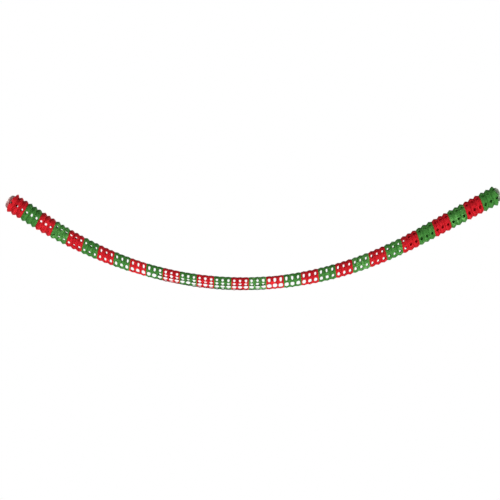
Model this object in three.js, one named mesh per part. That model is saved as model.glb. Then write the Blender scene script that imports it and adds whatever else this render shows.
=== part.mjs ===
// Tissue paper garland: thirty sections of glued tissue, red and green by turns, drawn open between two round
// end cards and hung by them. Each section is three cells long. Each cell has six lobes that arch from ring
// to ring, with an oval opening between neighbouring lobes.
// Millimetres. +X runs along the span, +Y away from the viewer, +Z up. The origin is the middle of the left
// card's outer face.

import * as THREE from 'three';

// Pattern along the garland
const sectionCount = 30;
const cellsPerSection = 3;
const cellPitch = 40.64;
const sectionGap = 0.3;
// The right half is drawn open more than the left: the share by which the last cell is longer than the mean
const cellGrowth = 0.043;

// Pattern around the garland
const lobeCount = 6;

// Radii, where the cells are close-set at the ends and where they are drawn open in the middle
const endRingRadius = 49;
const endTipRadius = 66.5;
const middleRingRadius = 43;
const middleTipRadius = 45.5;

// The two end rings are drawn in where they are glued to the cards
const glueRingRadius = 16;

// Openings between the lobes: half the width of a lobe at its tip, and the distance from a ring to an opening,
// which is never more than a share of half a cell
const endTipHalfAngle = 23;
const middleTipHalfAngle = 4.2;
const endRingBand = 11.5;
const middleRingBand = 6.3;
const widestBandShare = 0.62;

// The openings close before the radii reach their full size, and a little beside the middle. The bands along
// the rings widen sooner than the lobes.
const closingRate = 1.15;
const closedBesideMiddle = 0.2;
const bandClosingRate = 2.2;

// Lobes at the sides hang a little low, and lobes near the top and the bottom of a ring lie wider. The two
// heights, as shares of the radius, are where a lobe starts to spread and where it is fully spread.
const sideSag = 5;
const topSpread = 20;
const bottomSpread = 10;
const widestHalfAngle = 29.5;
const spreadStartHeight = 0.75;
const spreadFullHeight = 0.95;

// At the close-set ends the openings near the top and the bottom are shut: the heights where that starts and
// where it is complete
const shutStartHeight = 0.63;
const shutFullHeight = 0.84;

// Depth of the glued tissue, from its outer to its inner side
const tissueDepth = 1.4;

// Lengths over which the close-set ends pass into the open middle
const leftTaperLength = 1120;
const rightTaperLength = 1790;

// Hanging curve: a catenary whose close-set ends stay straight
const catenaryLength = 2358;
const lowPointDistance = 1752;
const leftStraightLength = 251;
const rightStraightLength = 626;

// The weight of the middle leans the rings from square towards upright, most of all half way up each side
const ringLean = 12;
const leftLeanReach = 1752;
const rightLeanReach = 2350;

// Twist about the garland's own axis: the angle of a lobe above the viewer's side, and where it changes
const leftTwist = 30;
const middleTwist = 14;
const rightTwist = 13;
const twistChangeLength = 200;
const leftTwistDistance = 410;
const middleTwistStart = 1126;
const middleTwistEnd = 1921;
const rightTwistDistance = 580;

// End cards. Their front edges stand outwards, by a turn that the tissue beside them follows for a while.
const cardDiameter = 100;
const cardThickness = 0.8;
const cardTurn = 27;
const cardTurnLength = 38;
const cardFacets = 40;

const cellCount = sectionCount * cellsPerSection;
const garlandLength = cellCount * cellPitch;
const lobeStep = 2 * Math.PI / lobeCount;
const radians = THREE.MathUtils.degToRad;
const { clamp, lerp, smoothstep } = THREE.MathUtils;

const tissueFinish = { roughness: 0.8, metalness: 0, flatShading: true };
const redTissue = new THREE.MeshStandardMaterial({ color: 0xc1222b, ...tissueFinish });
const greenTissue = new THREE.MeshStandardMaterial({ color: 0x33742f, ...tissueFinish });
const whiteCard = new THREE.MeshStandardMaterial({ color: 0xe8e2dc, roughness: 0.7, metalness: 0 });

// Distance along the garland after a number of cells, counted from the left card.
function distanceAfter(cells) {
  const share = cells / cellCount;
  return garlandLength * (share + cellGrowth * (share * share - share));
}

// How close-set the cells are at a distance along the garland: 1 at the ends, 0 in the open middle.
function closeness(distance) {
  const left = 1 - smoothstep(distance, 0, leftTaperLength);
  const right = clamp(1 - (garlandLength - distance) / rightTaperLength, 0, 1);
  return Math.max(left, right);
}

function betweenMiddleAndEnd(middle, end, distance) {
  return lerp(middle, end, closeness(distance));
}

// Part of a change in twist that is made by a distance along the garland, for a change around a place.
function twistChange(distance, place) {
  return smoothstep(distance, place - twistChangeLength / 2, place + twistChangeLength / 2);
}

// 1 in the open middle, where the twist is the middle's own, and 0 beside it.
function middleShare(distance) {
  return twistChange(distance, middleTwistStart) - twistChange(distance, middleTwistEnd);
}

// How far the openings are closed: 0 in the open middle, 1 where they are as small as at the ends.
function closedShare(distance) {
  return Math.min(1, closingRate * closeness(distance) + closedBesideMiddle * (1 - middleShare(distance)));
}

// Width of the band from a ring to the openings of the cell on one side of it, as a share of half that cell.
function ringBandShare(cells, side) {
  const distance = distanceAfter(cells);
  const halfCell = side * (distanceAfter(cells + side / 2) - distance);
  const closed = Math.min(1, bandClosingRate * closedShare(distance));
  return Math.min(lerp(middleRingBand, endRingBand, closed) / halfCell, widestBandShare);
}

function ringRadiusAfter(cells) {
  const isGlued = cells === 0 || cells === cellCount;
  const free = betweenMiddleAndEnd(middleRingRadius, endRingRadius, distanceAfter(cells));
  return isGlued ? glueRingRadius : free;
}

function twistAt(distance) {
  const left = 1 - twistChange(distance, leftTwistDistance);
  const right = twistChange(distance, garlandLength - rightTwistDistance);
  return radians(leftTwist * left + middleTwist * middleShare(distance) + rightTwist * right);
}

// An angle round the garland, measured from the viewer's side upwards, after the sides have sagged.
function saggedAngle(distance, angle) {
  return angle - radians(sideSag) * (1 - closeness(distance)) * Math.cos(angle);
}

// Half the angle that a lobe takes up at its tip, on its upper side (1) or its lower side (-1).
function tipHalfAngleAt(distance, lobeAngle, side) {
  const height = Math.sin(saggedAngle(distance, lobeAngle));
  const top = topSpread * smoothstep(height, spreadStartHeight, spreadFullHeight);
  const bottom = bottomSpread * smoothstep(-height, spreadStartHeight, spreadFullHeight);
  const closed = closedShare(distance);
  const plain = lerp(middleTipHalfAngle, endTipHalfAngle, closed);
  const spread = Math.min(plain + top + bottom, widestHalfAngle);
  const openingHeight = Math.abs(Math.sin(saggedAngle(distance, lobeAngle + side * lobeStep / 2)));
  const shut = closed * smoothstep(openingHeight, shutStartHeight, shutFullHeight);
  return radians(lerp(spread, widestHalfAngle, shut));
}

// Turn of a ring about its own upright line, which lets the end cards face a little towards the viewer.
function turnAt(distance) {
  const left = clamp(1 - distance / cardTurnLength, 0, 1);
  const right = clamp(1 - (garlandLength - distance) / cardTurnLength, 0, 1);
  return radians(cardTurn) * (right - left);
}

// Middle of the ring at a distance along the garland, with the ring's own axis, front and upright directions.
function stationAt(distance) {
  const fromLow = distance - lowPointDistance;
  const leftBend = leftStraightLength - lowPointDistance;
  const rightBend = garlandLength - rightStraightLength - lowPointDistance;
  const bent = clamp(fromLow, leftBend, rightBend);
  const straight = fromLow - bent;
  const pull = Math.hypot(catenaryLength, bent);
  const middle = new THREE.Vector3(
    catenaryLength * Math.asinh(bent / catenaryLength) + straight * catenaryLength / pull,
    0,
    pull - catenaryLength + straight * bent / pull,
  );
  const reach = fromLow < 0 ? leftLeanReach : rightLeanReach;
  const lean = radians(ringLean) * Math.sin(Math.PI * clamp(fromLow / reach, -1, 1));
  const slope = Math.atan2(bent, catenaryLength) - lean;
  const square = new THREE.Vector3(Math.cos(slope), 0, Math.sin(slope));
  const upright = new THREE.Vector3(-Math.sin(slope), 0, Math.cos(slope));
  const axis = square.clone().applyAxisAngle(upright, turnAt(distance));
  const front = axis.clone().cross(upright);
  return { middle, axis, front, upright };
}

// A point at an angle round a ring, before sagging, moved by offset along the axis.
function pointAt(distance, angle, radius, offset = 0) {
  const { middle, axis, front, upright } = stationAt(distance);
  const sagged = saggedAngle(distance, angle);
  return middle.clone()
    .addScaledVector(front, radius * Math.cos(sagged))
    .addScaledVector(upright, radius * Math.sin(sagged))
    .addScaledVector(axis, offset);
}

// One tissue section as a thin closed wall. The outer and the inner side meet in the edges of the openings.
function tissueGeometry(section) {
  const positions = [];
  const faces = [];
  const addPoint = point => positions.push(point.x, point.y, point.z) / 3 - 1;
  const firstCell = section * cellsPerSection;
  const lobes = [...Array(lobeCount).keys()];
  const cells = [...Array(cellsPerSection).keys()];
  const rings = [...Array(cellsPerSection + 1).keys()];

  const ringPoints = depth => rings.map(ring => {
    const distance = distanceAfter(firstCell + ring);
    const radius = ringRadiusAfter(firstCell + ring) - depth;
    const angle = twistAt(distance);
    const gapSide = (ring === 0) - (ring === cellsPerSection);
    const inset = gapSide * sectionGap / 2;
    return lobes.map(lobe => addPoint(pointAt(distance, angle + lobe * lobeStep, radius, inset)));
  });
  const tipPoints = depth => cells.map(cell => {
    const distance = distanceAfter(firstCell + cell + 0.5);
    const radius = betweenMiddleAndEnd(middleTipRadius, endTipRadius, distance) - depth;
    return lobes.map(lobe => addPoint(pointAt(distance, twistAt(distance) + lobe * lobeStep, radius)));
  });
  // The two sides of each opening at mid-cell, above and below the lobe
  const sidePoints = side => cells.map(cell => {
    const distance = distanceAfter(firstCell + cell + 0.5);
    const radius = betweenMiddleAndEnd(middleTipRadius, endTipRadius, distance) - tissueDepth / 2;
    return lobes.map(lobe => {
      const lobeAngle = twistAt(distance) + lobe * lobeStep;
      const halfAngle = tipHalfAngleAt(distance, lobeAngle, side);
      return addPoint(pointAt(distance, lobeAngle + side * halfAngle, radius));
    });
  });
  // The two ends of each opening, beside the rings
  const endPoints = side => cells.map(cell => {
    const ring = firstCell + cell + (side > 0 ? 0 : 1);
    const share = ringBandShare(ring, side);
    const distance = lerp(distanceAfter(ring), distanceAfter(ring + side / 2), share);
    const tipRadius = betweenMiddleAndEnd(middleTipRadius, endTipRadius, distance);
    const chordRadius = ringRadiusAfter(ring) * Math.cos(lobeStep / 2);
    const radius = lerp(chordRadius, tipRadius, share) - tissueDepth / 2;
    const angle = twistAt(distance) + lobeStep / 2;
    return lobes.map(lobe => addPoint(pointAt(distance, angle + lobe * lobeStep, radius)));
  });

  const above = sidePoints(1);
  const below = sidePoints(-1);
  const starts = endPoints(1);
  const ends = endPoints(-1);
  const outer = { ring: ringPoints(0), tip: tipPoints(0) };
  const inner = { ring: ringPoints(tissueDepth), tip: tipPoints(tissueDepth) };

  for (const side of [outer, inner]) {
    const addFace = (a, b, c) => side === outer ? faces.push(a, b, c) : faces.push(a, c, b);
    for (const cell of cells) {
      for (const lobe of lobes) {
        const next = (lobe + 1) % lobeCount;
        const last = (lobe + lobeCount - 1) % lobeCount;
        const nearRing = side.ring[cell][lobe];
        const farRing = side.ring[cell + 1][lobe];
        const tip = side.tip[cell][lobe];
        addFace(nearRing, starts[cell][last], below[cell][lobe]);
        addFace(nearRing, below[cell][lobe], tip);
        addFace(nearRing, tip, above[cell][lobe]);
        addFace(nearRing, above[cell][lobe], starts[cell][lobe]);
        addFace(farRing, ends[cell][lobe], above[cell][lobe]);
        addFace(farRing, above[cell][lobe], tip);
        addFace(farRing, tip, below[cell][lobe]);
        addFace(farRing, below[cell][lobe], ends[cell][last]);
        addFace(nearRing, starts[cell][lobe], side.ring[cell][next]);
        addFace(farRing, side.ring[cell + 1][next], ends[cell][lobe]);
      }
    }
  }
  for (const lobe of lobes) {
    const next = (lobe + 1) % lobeCount;
    for (const ring of [0, cellsPerSection]) {
      const [from, to] = ring === 0 ? [lobe, next] : [next, lobe];
      faces.push(outer.ring[ring][from], outer.ring[ring][to], inner.ring[ring][to]);
      faces.push(outer.ring[ring][from], inner.ring[ring][to], inner.ring[ring][from]);
    }
  }

  const geometry = new THREE.BufferGeometry();
  geometry.setAttribute('position', new THREE.Float32BufferAttribute(positions, 3));
  geometry.setIndex(faces);
  geometry.computeVertexNormals();
  return geometry;
}

function tissueSection(section) {
  const isRed = section % 2 === 0;
  const mesh = new THREE.Mesh(tissueGeometry(section), isRed ? redTissue : greenTissue);
  mesh.name = `tissue_${isRed ? 'red' : 'green'}_${String(section + 1).padStart(2, '0')}`;
  return mesh;
}

// A round card square to the ring at a distance along the garland, on its outer side.
function endCard(name, distance, side) {
  const { middle, axis } = stationAt(distance);
  const radius = cardDiameter / 2;
  const disc = new THREE.CylinderGeometry(radius, radius, cardThickness, cardFacets);
  const mesh = new THREE.Mesh(disc, whiteCard);
  mesh.name = name;
  mesh.position.copy(middle).addScaledVector(axis, side * (cardThickness + sectionGap) / 2);
  mesh.quaternion.setFromUnitVectors(new THREE.Vector3(0, 1, 0), axis);
  return mesh;
}

const garland = new THREE.Group();
for (let section = 0; section < sectionCount; section += 1) {
  garland.add(tissueSection(section));
}
const leftCard = endCard('left_end_card', 0, -1);
const rightCard = endCard('right_end_card', garlandLength, 1);
garland.add(leftCard, rightCard);

// The middle of the left card's outer face comes to the origin.
const leftAxis = stationAt(0).axis;
garland.position.copy(leftCard.position).addScaledVector(leftAxis, -cardThickness / 2).negate();

export default garland;
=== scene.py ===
import math
import bpy
from mathutils import Matrix, Vector


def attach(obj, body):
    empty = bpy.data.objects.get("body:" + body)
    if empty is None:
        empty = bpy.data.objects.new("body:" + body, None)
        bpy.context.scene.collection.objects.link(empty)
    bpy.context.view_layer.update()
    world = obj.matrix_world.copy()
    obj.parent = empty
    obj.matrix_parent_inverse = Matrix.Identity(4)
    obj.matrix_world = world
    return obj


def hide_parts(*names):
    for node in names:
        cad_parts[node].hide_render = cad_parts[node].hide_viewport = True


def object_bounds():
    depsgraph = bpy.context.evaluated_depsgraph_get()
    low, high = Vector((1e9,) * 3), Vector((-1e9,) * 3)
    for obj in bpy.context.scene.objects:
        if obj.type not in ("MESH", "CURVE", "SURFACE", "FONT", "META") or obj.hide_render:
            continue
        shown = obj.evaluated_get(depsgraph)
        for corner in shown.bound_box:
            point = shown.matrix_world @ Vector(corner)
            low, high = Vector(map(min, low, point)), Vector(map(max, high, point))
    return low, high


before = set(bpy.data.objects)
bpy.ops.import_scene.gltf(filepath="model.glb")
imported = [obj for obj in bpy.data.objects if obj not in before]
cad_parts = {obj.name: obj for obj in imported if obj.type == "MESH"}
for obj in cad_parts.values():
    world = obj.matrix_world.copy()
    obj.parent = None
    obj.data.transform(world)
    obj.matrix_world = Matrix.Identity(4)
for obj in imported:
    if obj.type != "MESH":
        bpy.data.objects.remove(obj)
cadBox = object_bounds()
scene = bpy.context.scene
scene.view_settings.view_transform = "Standard"
print("frame loaded:", len(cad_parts), "solids")


# A node socket that takes part in sums

class Wire:
    def __init__(self, tree, socket=None):
        self.tree = tree
        self.socket = socket

    def node(self, kind, settings=None, inputs=(), out=0):
        made = self.tree.nodes.new(kind)
        for name, value in (settings or {}).items():
            if name == "stops":
                setStops(made.color_ramp, value)
            else:
                setattr(made, name, value)
        named = inputs.items() if isinstance(inputs, dict) else enumerate(inputs)
        for name, value in named:
            if isinstance(value, Wire):
                self.tree.links.new(value.socket, made.inputs[name])
            else:
                made.inputs[name].default_value = value
        return Wire(self.tree, made.outputs[out] if made.outputs else None)

    def other(self, name):  # another output of the same node
        return Wire(self.tree, self.socket.node.outputs[name])

    def sum(self, operation, *values):
        return self.node("ShaderNodeMath", {"operation": operation}, values)

    def __add__(self, other):
        return self.sum("ADD", self, other)

    def __sub__(self, other):
        return self.sum("SUBTRACT", self, other)

    def __rsub__(self, other):
        return self.sum("SUBTRACT", other, self)

    def __mul__(self, other):
        return self.sum("MULTIPLY", self, other)

    def __truediv__(self, other):
        return self.sum("DIVIDE", self, other)

    def __rtruediv__(self, other):
        return self.sum("DIVIDE", other, self)

    __radd__ = __add__
    __rmul__ = __mul__


def setStops(ramp, stops):
    while len(ramp.elements) < len(stops):
        ramp.elements.new(0.5)
    for element, (place, colour) in zip(ramp.elements, stops):
        element.position = place
        element.color = colour


def noiseOn(board, spot, scale, detail, out=0):
    values = {"Vector": spot, "Scale": scale, "Detail": detail}
    return board.node("ShaderNodeTexNoise", None, values, out)


# One rule for plain numbers and for wires

def either(operation, plain):
    def work(*values):
        wires = [value for value in values if isinstance(value, Wire)]
        return wires[0].sum(operation, *values) if wires else plain(*values)
    return work


root = either("SQRT", math.sqrt)
sine = either("SINE", math.sin)
cosine = either("COSINE", math.cos)
arctangent = either("ARCTANGENT", math.atan)
logarithm = either("LOGARITHM", math.log)
smaller = either("MINIMUM", min)
larger = either("MAXIMUM", max)
wholePart = either("FLOOR", math.floor)


def limited(value, low=0.0, high=1.0):
    return larger(smaller(value, high), low)


def eased(share):
    return share * share * (3.0 - 2.0 * share)


def smooth(value, low, high):
    return eased(limited((value - low) / (high - low)))


def between(start, end, share):
    return start + (end - start) * share


# The hanging line: a catenary with straight ends, measured from the left card

hang = {
    "sections": 30,
    "cellsPerSection": 3,
    "length": 3.6576,            # along the line, from card to card
    "cellGrowth": 0.043,         # how much longer the last cell is than the mean one, as a share
    "catenary": 2.358,           # radius of the bend at the lowest point
    "lowPoint": 1.752,           # along the line
    "leftStraight": 0.251,       # lengths of the straight ends
    "rightStraight": 0.626,
    "ringLean": 12.0,            # degrees, from square to the line towards upright
    "leftLeanReach": 1.752,      # how far it goes on both sides of the lowest point
    "rightLeanReach": 2.35,
    "leftTwist": -30.0,          # degrees about the line
    "rightTwist": 13.0,
    "middleTwist": 14.0,
    "twistChange": 0.12,         # length of a change of twist
    "leftTwistChange": 0.08,
    "leftTwistEnd": 0.352,
    "middleTwistStart": 1.126,
    "middleTwistEnd": 1.921,
    "rightTwistStart": 0.74,     # from the right card
    "cardTurn": 27.0,            # degrees, the front of a card stands outwards
    "cardTurnLength": 0.038,     # over which the rings turn back to square
    "leftFacing": 4.0,           # degrees, the fronts of rings near the left end stand to the right
    "facingStart": (0.05, 0.12),  # where that sets in and where it fades
    "facingEnd": (0.45, 0.75),
    "cardThickness": 0.0008,
    "gap": 0.0003,               # left at a card for the glue
}
cellCount = hang["sections"] * hang["cellsPerSection"]


def distanceAfter(cells):
    share = cells / cellCount
    return hang["length"] * (share + hang["cellGrowth"] * (share * share - share))


def linePlace(distance):
    # x, z and slope on the line, from its lowest point
    pull = hang["catenary"]
    fromLow = distance - hang["lowPoint"]
    leftBend = hang["leftStraight"] - hang["lowPoint"]
    rightBend = hang["length"] - hang["rightStraight"] - hang["lowPoint"]
    bent = limited(fromLow, leftBend, rightBend)
    straight = fromLow - bent
    rise = root(bent * bent + pull * pull)
    x = pull * logarithm((bent + rise) / pull, math.e) + straight * pull / rise
    z = rise - pull + straight * bent / rise
    return x, z, arctangent(bent / pull)


def ringLeanAt(distance):
    fromLow = distance - hang["lowPoint"]
    left = limited(fromLow / hang["leftLeanReach"], -1.0, 0.0)
    right = limited(fromLow / hang["rightLeanReach"], 0.0, 1.0)
    return math.radians(hang["ringLean"]) * sine(math.pi * (left + right))


def ringTurnAt(distance):
    left = limited(1.0 - distance / hang["cardTurnLength"])
    right = limited(1.0 - (hang["length"] - distance) / hang["cardTurnLength"])
    facing = smooth(distance, *hang["facingStart"]) - smooth(distance, *hang["facingEnd"])
    return math.radians(hang["cardTurn"]) * (right - left) + math.radians(hang["leftFacing"]) * facing


def twistChange(distance, place, length=hang["twistChange"]):
    half = 0.5 * length
    return smooth(distance, place - half, place + half)


def pastMiddle(distance):
    # 1 to the right of the middle, 0 before
    return twistChange(distance, hang["middleTwistEnd"])


def rightEndShare(distance):
    # 1 in the right end, 0 before
    return twistChange(distance, hang["length"] - hang["rightTwistStart"])


def twistAt(distance):
    left = 1.0 - twistChange(distance, hang["leftTwistEnd"], hang["leftTwistChange"])
    middle = twistChange(distance, hang["middleTwistStart"]) - pastMiddle(distance)
    right = rightEndShare(distance)
    turns = hang["leftTwist"] * left + hang["middleTwist"] * middle + hang["rightTwist"] * right
    return turns * math.radians(1.0)


def ringAxes(distance):
    # middle, axis, front and upright of a ring, each as three sums
    x, z, slope = linePlace(distance)
    tilt = slope - ringLeanAt(distance)
    turn = ringTurnAt(distance)
    axis = (cosine(tilt) * cosine(turn), sine(turn), sine(tilt) * cosine(turn))
    front = (cosine(tilt) * sine(turn), -1.0 * cosine(turn), sine(tilt) * sine(turn))
    upright = (-1.0 * sine(tilt), 0.0, cosine(tilt))
    return (x, 0.0, z), axis, front, upright


startMiddle, startAxis = ringAxes(0.0)[:2]
cardReach = hang["cardThickness"] + 0.5 * hang["gap"]
lowestPoint = Vector(startAxis) * cardReach - Vector(startMiddle)  # with the left card's face at the origin


# Tissue sheets: each is a ring with six lobes, bent from its glued ring out to its glued lobe tips

tissue = {
    "lobes": 6,
    "endRing": 0.056,            # ring and tip radii where the cells are close-set
    "endTip": 0.0695,
    "middleRing": 0.044,         # and where they are drawn open
    "middleTip": 0.0468,
    "glueRing": 0.016,           # the rings on the cards
    "leftTipHalfAngle": 22.0,    # degrees, half a lobe at its tip
    "rightTipHalfAngle": 19.5,
    "middleTipHalfAngle": 4.8,
    "endBand": 0.0115,           # from a ring to the openings
    "middleBand": 0.0072,
    "leftTaper": 1.25,           # lengths from the cards to where the cells are drawn open
    "rightTaper": 1.79,
    "closingRate": 1.15,         # the openings close before the radii are full
    "closedBeside": 0.12,        # how much further they are closed to the left of the middle
    "closedAfter": 0.35,         # and how much sooner they close to the right of it
    "bandRate": 2.2,             # bands beside rings widen before the lobes do
    "bandLift": 0.90,            # and are wider at the top than at the bottom where drawn open
    "widestBand": 0.58,          # share of half a cell
    "openingRound": 0.6,         # 1 for oval openings, less for squarer ones
    "sideSag": 5.0,              # degrees, lobes at the sides hang a little low
    "topSpread": 20.0,           # degrees, lobes at the top and the bottom lie wider
    "bottomSpread": 10.0,
    "spreadHeights": (0.75, 0.95),  # where that begins and is full, as shares of the radius
    "rightSpread": 0.3,          # share of it at the right end
    "shutHeights": (0.4, 0.7),   # heights squared over which close-set openings shut
    "widestLobe": 29.5,          # degrees, half a lobe
    "ringDip": 0.06,             # a ring is drawn in between lobes, as a share of its radius
    "tipDip": 0.03,
    "flangeDepth": 0.006,        # glued edge inside a ring
    "tabHeight": 0.002,          # glued edge outside a lobe tip
    "tabNarrowing": 0.8,         # at a tab's end its width squared is less by this share
    "edgeMark": 0.2,             # glued edges run on by this past the 0 and 1 of a sheet's own height
    "bend": 0.25,                # 0 straight from ring to tip, 1 fully S-shaped
    "bulge": 0.4,                # lobes are fuller than straight
    "sheetGap": 0.0003,
    "sheetThickness": 0.00025,
    "mergeReach": 0.00002,       # points this close become one
    "jitterAngle": 2.2,          # degrees, the first of the small differences from lobe to lobe
    "jitterRadius": 0.0016,
    "jitterAlong": 0.0018,
    "jitterWidth": 0.13,         # share of a lobe's width
    "sway": 1.6,                 # degrees of slow lean and twist along the garland
    "swayLength": 0.06,
    "twistWave": 3.7,            # where in its noise each of the two starts
    "leanWave": 9.1,
    "crinkle": 0.0022,           # height and size of the crinkles
    "crinkleSize": 0.014,
    "gluedCrinkle": 0.2,         # share of the crinkles on glued edges
    "ringGrip": 0.25,            # heights on a sheet between which it is free of the glue
    "tipGrip": 0.8,
    "flangeRows": 2,             # rows of faces up a lobe, and columns across it
    "bandRows": 3,
    "lobeRows": 8,
    "tabRows": 2,
    "columns": 12,
    "seed": 7,
}
noiseMean = 0.5
noiseReach = 0.25                # a noise mostly stays this close to its mean
sheetsPerSection = 2 * hang["cellsPerSection"]
rowsPerSheet = tissue["flangeRows"] + tissue["bandRows"] + tissue["lobeRows"] + tissue["tabRows"]
sheetSizes = {
    "End Ring": tissue["endRing"],
    "End Tip": tissue["endTip"],
    "Middle Ring": tissue["middleRing"],
    "Middle Tip": tissue["middleTip"],
    "Glue Ring": tissue["glueRing"],
    "Left Tip Half Angle": math.radians(tissue["leftTipHalfAngle"]),
    "Right Tip Half Angle": math.radians(tissue["rightTipHalfAngle"]),
    "Middle Tip Half Angle": math.radians(tissue["middleTipHalfAngle"]),
    "End Band": tissue["endBand"],
    "Middle Band": tissue["middleBand"],
    "Top Spread": math.radians(tissue["topSpread"]),
    "Bottom Spread": math.radians(tissue["bottomSpread"]),
    "Flange Depth": tissue["flangeDepth"],
    "Tab Height": tissue["tabHeight"],
    "Sheet Gap": tissue["sheetGap"],
    "Crinkle": tissue["crinkle"],
}
sheetInputs = {
    "First Cell": "NodeSocketInt",
    **{name: "NodeSocketFloat" for name in sheetSizes},
    "Seed": "NodeSocketInt",
    "Tissue": "NodeSocketMaterial",
}


def closeness(distance):
    # 1 where the cells are close-set, 0 where they are drawn open
    left = 1.0 - smooth(distance, 0.0, tissue["leftTaper"])
    right = limited(1.0 - (hang["length"] - distance) / tissue["rightTaper"])
    return larger(left, right)


def closedAt(distance):
    # 1 where the openings between lobes are as narrow as they get
    beside = 1.0 - twistChange(distance, hang["middleTwistStart"])
    sooner = 1.0 + tissue["closedAfter"] * pastMiddle(distance)
    closing = tissue["closingRate"] * closeness(distance) * sooner
    return smaller(closing + tissue["closedBeside"] * beside, 1.0)


def sagged(angle, distance):
    # lobes at the sides hang a little low, where the garland is drawn open
    return angle - math.radians(tissue["sideSag"]) * (1.0 - closeness(distance)) * cosine(angle)


def bandShareOf(given, closed, openingHeight, halfCell):
    # how much of half a cell the whole band beside a ring takes
    width = between(given["Middle Band"], given["End Band"], smaller(tissue["bandRate"] * closed, 1.0))
    width = width * (1.0 + tissue["bandLift"] * openingHeight * (1.0 - closed) * (1.0 - closed))
    return smaller(width / halfCell, tissue["widestBand"])


def tipHalfAngleOf(given, closed, openingHeight, lobeHeight, distance, jitter):
    # half a lobe at its tip, wider at the top and the bottom and where the cells are close-set
    top = smooth(lobeHeight, *tissue["spreadHeights"])
    bottom = smooth(-1.0 * lobeHeight, *tissue["spreadHeights"])
    spread = given["Top Spread"] * top + given["Bottom Spread"] * bottom
    spread = spread * between(1.0, tissue["rightSpread"], rightEndShare(distance))
    endHalf = between(given["Left Tip Half Angle"], given["Right Tip Half Angle"], pastMiddle(distance))
    tipHalf = between(given["Middle Tip Half Angle"], endHalf, closed) + spread
    widest = math.radians(tissue["widestLobe"])
    tipHalf = smaller(tipHalf * (1.0 + jitter), widest)
    shut = closed * smooth(openingHeight * openingHeight, *tissue["shutHeights"])
    return between(tipHalf, widest, shut)


def layPetals(board):
    # one flat grid for each lobe of each sheet, laid out sheet by sheet and lobe by lobe
    rows = rowsPerSheet
    petalWidth = 2.0                               # so that a point's place across runs from -1 to 1
    sheetStep = 2.0 * rows
    lobeStep = 2.0 * petalWidth
    reachAlong = sheetStep * (sheetsPerSection - 1)
    reachAround = lobeStep * (tissue["lobes"] - 1)
    petalGrid = [float(rows), petalWidth, rows + 1, tissue["columns"] + 1]
    petal = board.node("GeometryNodeMeshGrid", None, petalGrid)
    spotGrid = [reachAlong, reachAround, sheetsPerSection, tissue["lobes"]]
    spots = board.node("GeometryNodeMeshGrid", None, spotGrid)
    laid = board.node("GeometryNodeInstanceOnPoints", None, {"Points": spots, "Instance": petal})
    flat = board.node("GeometryNodeRealizeInstances", None, {"Geometry": laid})

    # which sheet, row and lobe a point belongs to, and where it lies across the lobe
    place = board.node("GeometryNodeInputPosition")
    along = board.node("ShaderNodeSeparateXYZ", None, [place])
    around = along.other("Y") + 0.5 * reachAround
    along = along + 0.5 * (rows + reachAlong)
    margin = 0.25 * rows                           # keeps a sheet's first row clear of rounding
    sheet = wholePart((along + margin) / sheetStep)
    row = along - sheet * sheetStep
    lobe = wholePart(around / lobeStep + 0.5)
    across = around - lobe * lobeStep
    return flat, sheet, row, lobe, across


def crinkled(board, sheets, depth):
    spot = board.node("GeometryNodeInputPosition")
    normal = board.node("GeometryNodeInputNormal")
    noise = noiseOn(board, spot, 1.0 / tissue["crinkleSize"], detail=1.0)
    kept = {"data_type": "FLOAT_VECTOR"}
    ownPlace = board.node("GeometryNodeInputNamedAttribute", kept, {"Name": "sheetPlace"})
    climbed = board.node("ShaderNodeSeparateXYZ", None, [ownPlace])
    free = smooth(climbed, 0.0, tissue["ringGrip"]) - smooth(climbed, tissue["tipGrip"], 1.0)
    height = (noise - noiseMean) * 2.0 * depth * between(tissue["gluedCrinkle"], 1.0, free)
    push = board.node("ShaderNodeVectorMath", {"operation": "SCALE"}, {"Vector": normal, "Scale": height})
    return board.node("GeometryNodeSetPosition", None, {"Geometry": sheets, "Offset": push})


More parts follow.
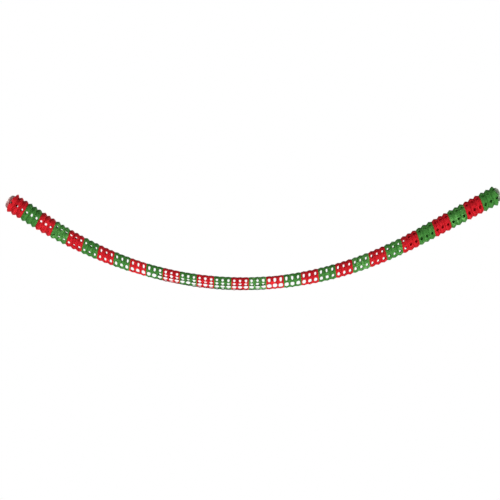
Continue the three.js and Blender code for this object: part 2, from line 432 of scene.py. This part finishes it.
def makeSheetTree():
    tree = bpy.data.node_groups.new("tissueSheets", "GeometryNodeTree")
    for name, kind in sheetInputs.items():
        tree.interface.new_socket(name=name, in_out="INPUT", socket_type=kind)
    tree.interface.new_socket(name="Geometry", in_out="OUTPUT", socket_type="NodeSocketGeometry")
    board = Wire(tree)
    entry = board.node("NodeGroupInput")
    given = {name: entry.other(name) for name in sheetInputs}
    lobes = tissue["lobes"]

    flat, sheet, row, lobe, across = layPetals(board)
    cell = wholePart(sheet / 2.0)
    facing = 1.0 - 2.0 * (sheet - cell * 2.0)      # 1 from a ring onwards, -1 back from the next ring
    cell = cell + given["First Cell"]
    number = cell * float(lobes) + lobe
    ringNumber = cell + 0.5 - 0.5 * facing

    def rowShare(first, count):
        return limited((row - float(first)) / float(count))

    lobeStart = tissue["flangeRows"] + tissue["bandRows"]
    flange = 1.0 - rowShare(0, tissue["flangeRows"])
    band = rowShare(tissue["flangeRows"], tissue["bandRows"])
    sweep = rowShare(lobeStart, tissue["lobeRows"]) * (0.5 * math.pi)
    tab = rowShare(lobeStart + tissue["lobeRows"], tissue["tabRows"])

    draws = {"angle": 1.0, "radius": 2.0, "along": 3.0, "width": 4.0}
    lowest, highest, drawn = 2, 3, 1               # sockets of a random value for plain numbers

    def chance(draw, reach):
        values = {lowest: -reach, highest: reach, "ID": number, "Seed": given["Seed"] + draws[draw]}
        return board.node("FunctionNodeRandomValue", {"data_type": "FLOAT"}, values, out=drawn)

    def swayAt(distance, start):
        wave = {"W": distance / tissue["swayLength"] + start, "Scale": 1.0, "Detail": 0.0}
        noise = board.node("ShaderNodeTexNoise", {"noise_dimensions": "1D"}, wave)
        return (noise - noiseMean) * math.radians(tissue["sway"] / noiseReach)

    # how far up the lobe, and how wide the lobe is there
    ringDistance = distanceAfter(ringNumber)
    tipDistance = distanceAfter(cell + 0.5)
    halfCell = (tipDistance - ringDistance) * facing
    closed = closedAt(tipDistance)
    lobeTurn = lobe * (2.0 * math.pi / lobes)
    fullHalf = math.pi / lobes
    sideTurn = across.sum("SIGN", across) * fullHalf
    tipAngle = twistAt(tipDistance) + lobeTurn
    lobeHeight = sine(sagged(tipAngle, tipDistance))  # 1 at the top of the garland, -1 at the bottom
    openingHeight = sine(sagged(tipAngle + sideTurn, tipDistance))
    bandShare = bandShareOf(given, closed, openingHeight, halfCell)
    lift = 1.0 - cosine(sweep)
    climb = band * bandShare + (1.0 - bandShare) * lift
    opened = sweep.sum("POWER", sine(sweep), tissue["openingRound"])
    jitter = chance("width", tissue["jitterWidth"])
    tipHalf = tipHalfAngleOf(given, closed, openingHeight, lobeHeight, tipDistance, jitter)
    narrowing = root(1.0 - tissue["tabNarrowing"] * tab * tab)
    halfAngle = between(fullHalf, tipHalf, opened) * narrowing

    # along the garland, with small differences from lobe to lobe
    loose = lift * lift                            # nothing in the band, which stays whole around the sheet
    travel = between(climb, eased(climb), tissue["bend"])
    clearance = 0.5 * given["Sheet Gap"]
    step = facing * (clearance + travel * (halfCell - 2.0 * clearance))
    distance = ringDistance + step + chance("along", tissue["jitterAlong"]) * loose

    # across the garland
    atCard = limited(larger(1.0 - ringNumber, ringNumber - (cellCount - 1.0)))
    ring = between(given["Middle Ring"], given["End Ring"], closeness(ringDistance))
    ring = between(ring, given["Glue Ring"], atCard)
    tip = between(given["Middle Tip"], given["End Tip"], closeness(tipDistance))
    dip = between(tissue["ringDip"], tissue["tipDip"], climb) * across * across
    bulged = climb * (1.0 + tissue["bulge"] * (1.0 - climb))
    rise = between(bulged, climb * climb, atCard)  # from a card the lobes first run along the garland
    radius = between(ring, tip, rise) * (1.0 - dip) + chance("radius", tissue["jitterRadius"]) * loose
    radius = radius - flange * given["Flange Depth"] + tab * given["Tab Height"]
    shift = chance("angle", math.radians(tissue["jitterAngle"])) * loose
    shift = shift + swayAt(distance, tissue["twistWave"])
    angle = sagged(twistAt(distance) + lobeTurn + across * halfAngle + shift, distance)

    middle, axis, front, upright = ringAxes(distance)
    outward = radius * cosine(angle)
    upwards = radius * sine(angle)
    leaning = upwards * swayAt(distance, tissue["leanWave"])
    shaped = board.node("ShaderNodeCombineXYZ", None, [
        middle[i] + outward * front[i] + upwards * upright[i] + leaning * axis[i] + lowestPoint[i]
        for i in range(3)
    ])
    bent = board.node("GeometryNodeSetPosition", None, {"Geometry": flat, "Position": shaped})

    # each point's own place on its sheet, for the crinkles and the finish
    ownHeight = climb + tissue["edgeMark"] * tab - tissue["edgeMark"] * flange
    ownPlace = board.node("ShaderNodeCombineXYZ", None, [ownHeight, across, number])
    kept = {"data_type": "FLOAT_VECTOR", "domain": "POINT"}
    named = {"Geometry": bent, "Name": "sheetPlace", "Value": ownPlace}
    marked = board.node("GeometryNodeStoreNamedAttribute", kept, named)
    near = {"Geometry": marked, "Distance": tissue["mergeReach"]}
    joined = board.node("GeometryNodeMergeByDistance", None, near)

    creased = crinkled(board, joined, given["Crinkle"])
    smoothed = board.node("GeometryNodeSetShadeSmooth", None, {"Geometry": creased})
    whole = board.node("GeometryNodeRealizeInstances", None, {"Geometry": smoothed})
    dressed = board.node("GeometryNodeSetMaterial", None, {"Geometry": whole, "Material": given["Tissue"]})
    board.node("NodeGroupOutput", None, {"Geometry": dressed})
    return tree


def plainPiece(maker, name):
    # the evaluated object as a plain mesh on a new object at the origin
    graph = bpy.context.evaluated_depsgraph_get()
    mesh = bpy.data.meshes.new_from_object(maker.evaluated_get(graph))
    mesh.name = name
    piece = bpy.data.objects.new(name, mesh)
    scene.collection.objects.link(piece)
    bpy.data.objects.remove(maker)
    return piece


def makeTissueSection(tree, section, material, name):
    maker = bpy.data.objects.new("sheetMaker", bpy.data.meshes.new("sheetMaker"))
    scene.collection.objects.link(maker)
    sheets = maker.modifiers.new("tissueSheets", "NODES")
    sheets.node_group = tree
    firstCell = section * hang["cellsPerSection"]
    values = {**sheetSizes, "First Cell": firstCell, "Seed": tissue["seed"], "Tissue": material}
    for item in tree.interface.items_tree:
        if item.in_out == "INPUT":
            sheets[item.identifier] = values[item.name]
    wall = maker.modifiers.new("sheetThickness", "SOLIDIFY")
    wall.thickness = tissue["sheetThickness"]
    wall.offset = 0.0
    return plainPiece(maker, name)


# Finishes

def newMaterial(name):
    material = bpy.data.materials.new(name)
    material.use_nodes = True
    material.node_tree.nodes.clear()
    return material, Wire(material.node_tree)


def setSockets(shader, values):
    for name, value in values.items():
        shader.socket.node.inputs[name].default_value = value


def opaque(colour):
    return (*colour, 1.0)


def toned(board, colours, places, shade):
    stops = [(place, opaque(colours[tone])) for tone, place in places.items()]
    return board.node("ShaderNodeValToRGB", {"stops": stops}, [shade])


def paperShader(board, colour, roughness, bump, gloss):
    values = {"Base Color": colour, "Roughness": roughness, "Normal": bump}
    paper = board.node("ShaderNodeBsdfPrincipled", None, values)
    setSockets(paper, {"Specular IOR Level": gloss})
    return paper


# tissue dye colours, with painted shade in the creases and below the lobe tips
dyeAndShade = {
    "red": {
        "deep": (0.50, 0.006, 0.013),
        "plain": (0.96, 0.028, 0.038),
        "pale": (0.98, 0.200, 0.210),
        "glow": (0.90, 0.12, 0.14),  # of the light that comes through
    },
    "green": {
        "deep": (0.042, 0.190, 0.030),
        "plain": (0.165, 0.460, 0.122),
        "pale": (0.390, 0.690, 0.320),
        "glow": (0.28, 0.62, 0.22),
    },
    "toneShades": {"deep": 0.10, "plain": 0.36, "pale": 0.62},  # shades at which the tones are met
    "seeThrough": 0.20,          # share of the light that goes into the tissue and through it
    "clouding": 45.0,            # patterns for each metre
    "fibre": 650.0,
    "creases": 70.0,
    "fineCreases": 190.0,
    "pleats": (1.2, 7.0, 3.1),   # up a lobe, across it and from lobe to lobe
    "creaseWander": 0.012,       # metres by which creases wander from straight
    "creaseDepth": 0.004,
    "creaseStrength": 1.0,
    "creaseShadeFade": 7.0,            # how fast the painted shade fades beside a crease
    "ringFade": 9.0,             # how fast the deeper colour of doubled tissue fades above a ring
    "tipShadeStart": 0.82,            # where the painted shade starts below a lobe tip
    "tipShadeDepth": 2.0,             # how many times deeper that painted shade is than the doubled tissue at a ring
    "shadeStart": -0.55,         # before any of the next ones is added
    "cloudShade": 0.95,          # how much each of them lightens or deepens the colour
    "fibreShade": 0.35,
    "pleatShade": 0.7,
    "lobeShade": 0.16,
    # painted shade in the creases
    "creaseShade": 0.10,
    # deeper colour of doubled tissue, with painted shade below the lobe tips
    "doubledAndTipShade": 0.24,
    "fineHeight": 0.3,           # how high each stands beside the main creases
    "pleatHeight": 0.5,
    "fibreHeight": 0.05,
    "roughness": 0.68,
    "fibreRoughness": 0.25,
    "gloss": 0.2,
}


def makeTissueMaterial(name, colours):
    material, board = newMaterial(name)
    spot = board.node("ShaderNodeTexCoord", out="Object")
    ownPlace = board.node("ShaderNodeAttribute", {"attribute_name": "sheetPlace"}, out="Vector")
    cloud = noiseOn(board, spot, dyeAndShade["clouding"], detail=3.0)
    fibre = noiseOn(board, spot, dyeAndShade["fibre"], detail=2.0)
    warp = noiseOn(board, spot, dyeAndShade["creases"], detail=2.0, out="Color")
    wander = [warp, (dyeAndShade["creaseWander"],) * 3, spot]
    bentSpot = board.node("ShaderNodeVectorMath", {"operation": "MULTIPLY_ADD"}, wander)

    def facetsOf(scale):
        values = {"Vector": bentSpot, "Scale": scale}
        return board.node("ShaderNodeTexVoronoi", {"feature": "DISTANCE_TO_EDGE"}, values)

    facets = facetsOf(dyeAndShade["creases"])
    fineFacets = facetsOf(dyeAndShade["fineCreases"])
    # painted shade in the creases, strongest on a crease and fading beside it
    paintedCreaseShade = 1.0 - limited(facets * dyeAndShade["creaseShadeFade"])
    pleats = board.node("ShaderNodeVectorMath", {"operation": "MULTIPLY"}, [ownPlace, dyeAndShade["pleats"]])
    pleat = noiseOn(board, pleats, scale=1.0, detail=1.0)

    # doubled tissue at the glued rings and tips is deeper in colour, and painted shade deepens it further
    # below the lobe tips
    climb = board.node("ShaderNodeSeparateXYZ", None, [ownPlace])
    paintedTipShade = dyeAndShade["tipShadeDepth"] * smooth(climb, dyeAndShade["tipShadeStart"], 1.0)
    doubledAndShadedTip = larger(1.0 - limited(climb * dyeAndShade["ringFade"]), paintedTipShade)
    lobeTone = board.node("ShaderNodeTexWhiteNoise", {"noise_dimensions": "1D"}, {"W": climb.other("Z")})
    shade = dyeAndShade["cloudShade"] * cloud + dyeAndShade["fibreShade"] * fibre + dyeAndShade["pleatShade"] * pleat
    shade = shade + dyeAndShade["lobeShade"] * lobeTone + dyeAndShade["shadeStart"]
    # takes off the painted shade in the creases, and the deeper doubled tissue with its painted shade below
    # the tips
    shade = shade - dyeAndShade["creaseShade"] * paintedCreaseShade - dyeAndShade["doubledAndTipShade"] * doubledAndShadedTip
    # dye colour with the painted crease and tip shade in it
    dyedAndShaded = toned(board, colours, dyeAndShade["toneShades"], shade)

    height = facets + dyeAndShade["fineHeight"] * fineFacets + dyeAndShade["pleatHeight"] * pleat + dyeAndShade["fibreHeight"] * fibre
    bumped = {"Strength": dyeAndShade["creaseStrength"], "Distance": dyeAndShade["creaseDepth"], "Height": height}
    bump = board.node("ShaderNodeBump", None, bumped)
    roughness = dyeAndShade["roughness"] + dyeAndShade["fibreRoughness"] * fibre
    paper = paperShader(board, dyedAndShaded, roughness, bump, dyeAndShade["gloss"])
    glow = board.node("ShaderNodeBsdfTranslucent", None, {"Color": opaque(colours["glow"]), "Normal": bump})
    mixed = board.node("ShaderNodeMixShader", None, [dyeAndShade["seeThrough"], paper, glow])
    board.node("ShaderNodeOutputMaterial", None, {"Surface": mixed})
    return material


cardFinish = {
    "pale": (0.95, 0.92, 0.89),
    "dull": (0.84, 0.78, 0.74),
    "toneShades": {"dull": 0.35, "pale": 0.6},
    "pulp": 170.0,               # patterns for each metre
    "stain": 30.0,
    "pulpDepth": 0.0004,
    "pulpStrength": 0.4,
    "roughness": 0.75,
    "pulpRoughness": 0.2,
    "gloss": 0.3,
}


def makeCardMaterial(name):
    material, board = newMaterial(name)
    spot = board.node("ShaderNodeTexCoord", out="Object")
    pulp = noiseOn(board, spot, cardFinish["pulp"], detail=6.0)
    stain = noiseOn(board, spot, cardFinish["stain"], detail=2.0)
    colour = toned(board, cardFinish, cardFinish["toneShades"], 0.5 * pulp + 0.5 * stain)
    bumped = {"Strength": cardFinish["pulpStrength"], "Distance": cardFinish["pulpDepth"], "Height": pulp}
    bump = board.node("ShaderNodeBump", None, bumped)
    roughness = cardFinish["roughness"] + cardFinish["pulpRoughness"] * pulp
    paper = paperShader(board, colour, roughness, bump, cardFinish["gloss"])
    board.node("ShaderNodeOutputMaterial", None, {"Surface": paper})
    return material


tissueMaterials = {colour: makeTissueMaterial(f"{colour}Tissue", dyeAndShade[colour]) for colour in ("red", "green")}
whiteCard = makeCardMaterial("whiteCard")
print("finishes made:", len(tissueMaterials) + 1)

sheetTree = makeSheetTree()
for section in range(hang["sections"]):
    colour = "red" if section % 2 == 0 else "green"
    piece = makeTissueSection(sheetTree, section, tissueMaterials[colour], f"{colour}Tissue{section + 1:02d}")
    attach(piece, "root")
    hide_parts(f"tissue_{colour}_{section + 1:02d}")
print("tissue sections made:", hang["sections"])


# End cards

card = {
    "diameter": 0.1,
    "edgeRound": 0.00025,        # radius of the rim's edges
    "edgeSteps": 2,
    "facets": 96,
}


def makeEndCard(name, distance, side):
    middle, axis, front, upright = [Vector(part) for part in ringAxes(distance)]
    thickness = hang["cardThickness"]
    middle = middle + lowestPoint + axis * (side * 0.5 * (thickness + hang["gap"]))
    radius = 0.5 * card["diameter"]
    bpy.ops.mesh.primitive_cylinder_add(vertices=card["facets"], radius=radius, depth=thickness)
    maker = bpy.context.object
    mirrored = Matrix.Diagonal((-1.0, 1.0, 1.0))   # because a ring's axes are left-handed
    turn = Matrix((front, upright, axis)).transposed() @ mirrored
    maker.data.transform(Matrix.Translation(middle) @ turn.to_4x4())
    maker.data.materials.append(whiteCard)
    edge = maker.modifiers.new("edgeRound", "BEVEL")
    edge.width = card["edgeRound"]
    edge.segments = card["edgeSteps"]
    return plainPiece(maker, name)


for side, distance, name in ((-1, 0.0, "left"), (1, hang["length"], "right")):
    piece = makeEndCard(f"{name}EndCard", distance, side)
    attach(piece, "root")
    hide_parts(f"{name}_end_card")
print("end cards made: 2")


# Camera, floor and light

view = {
    "focalPixels": 2158.0,
    "imageSide": 500.0,          # pixels
    "sensor": 36.0,              # millimetres
    "distance": 15.0857,
    "turn": -0.5,                # degrees from square, under 0 with the camera to the left
    "aimFromLow": (0.0461, 0.0, 0.236),
    "farthest": 500.0,
}
studio = {
    "floorDrop": 30.0,           # below the garland
    "floorSide": 400.0,
    "floorColour": (0.9, 0.9, 0.9, 1.0),
    "floorRoughness": 0.9,
    "floorGloss": 0.1,
    "floorSeen": 0.84,           # its own light, where it is seen directly
    "fill": 0.20,                # light from all around
    "backdrop": 1.0,             # and its strength where it is seen
    "keyPower": 13600.0,         # watts
    "keyPlace": (-24.0, -33.0, -13.0),
    "sidePower": 10400.0,
    "sidePlace": (19.0, -26.0, -10.0),
    "backPower": 10400.0,
    "backPlace": (12.0, 40.0, 8.0),
    "lampSide": 14.0,
}
white = (1.0, 1.0, 1.0, 1.0)
garlandMiddle = lowestPoint + Vector(view["aimFromLow"])


def makeCamera():
    data = bpy.data.cameras.new("photoCamera")
    data.sensor_width = view["sensor"]
    data.lens = view["sensor"] * view["focalPixels"] / view["imageSide"]
    data.clip_end = view["farthest"]
    eye = bpy.data.objects.new("photoCamera", data)
    scene.collection.objects.link(eye)
    turn = math.radians(view["turn"])
    look = Vector((-math.sin(turn), math.cos(turn), 0.0))
    eye.location = garlandMiddle - look * view["distance"]
    eye.rotation_euler = look.to_track_quat("-Z", "Y").to_euler()
    scene.camera = eye


def seenDirectly(board):
    path = board.node("ShaderNodeLightPath", out="Is Camera Ray")
    return larger(larger(path, path.other("Is Glossy Ray")), path.other("Is Transmission Ray"))


def makeFloor():
    height = cadBox[0].z - studio["floorDrop"]
    bpy.ops.mesh.primitive_plane_add(size=studio["floorSide"], location=(0.5 * cadBox[1].x, 0.0, height))
    floor = bpy.context.object
    floor.name = "studioFloor"
    material, board = newMaterial("paleFloor")
    shaders = []
    for strength in (0.0, studio["floorSeen"]):
        shader = board.node("ShaderNodeBsdfPrincipled")
        setSockets(shader, {
            "Base Color": studio["floorColour"],
            "Roughness": studio["floorRoughness"],
            "Specular IOR Level": studio["floorGloss"],
            "Emission Color": white,
            "Emission Strength": strength,
        })
        shaders.append(shader)
    mixed = board.node("ShaderNodeMixShader", None, [seenDirectly(board), *shaders])
    board.node("ShaderNodeOutputMaterial", None, {"Surface": mixed})
    floor.data.materials.append(material)


def makeWorld():
    world = bpy.data.worlds.new("whiteStudio")
    world.use_nodes = True
    world.node_tree.nodes.clear()
    board = Wire(world.node_tree)
    strengths = (studio["fill"], studio["backdrop"])
    shades = [board.node("ShaderNodeBackground", None, [white, strength]) for strength in strengths]
    mixed = board.node("ShaderNodeMixShader", None, [seenDirectly(board), *shades])
    board.node("ShaderNodeOutputWorld", None, {"Surface": mixed})
    scene.world = world


def makeLight(name, place, power):
    data = bpy.data.lights.new(name, "AREA")
    data.size = studio["lampSide"]
    data.energy = power
    lamp = bpy.data.objects.new(name, data)
    scene.collection.objects.link(lamp)
    lamp.location = place
    lamp.rotation_euler = (garlandMiddle - place).to_track_quat("-Z", "Y").to_euler()


makeCamera()
makeFloor()
makeWorld()
for name in ("key", "side", "back"):
    makeLight(f"{name}Light", garlandMiddle + Vector(studio[f"{name}Place"]), studio[f"{name}Power"])
print("camera, floor and light made")
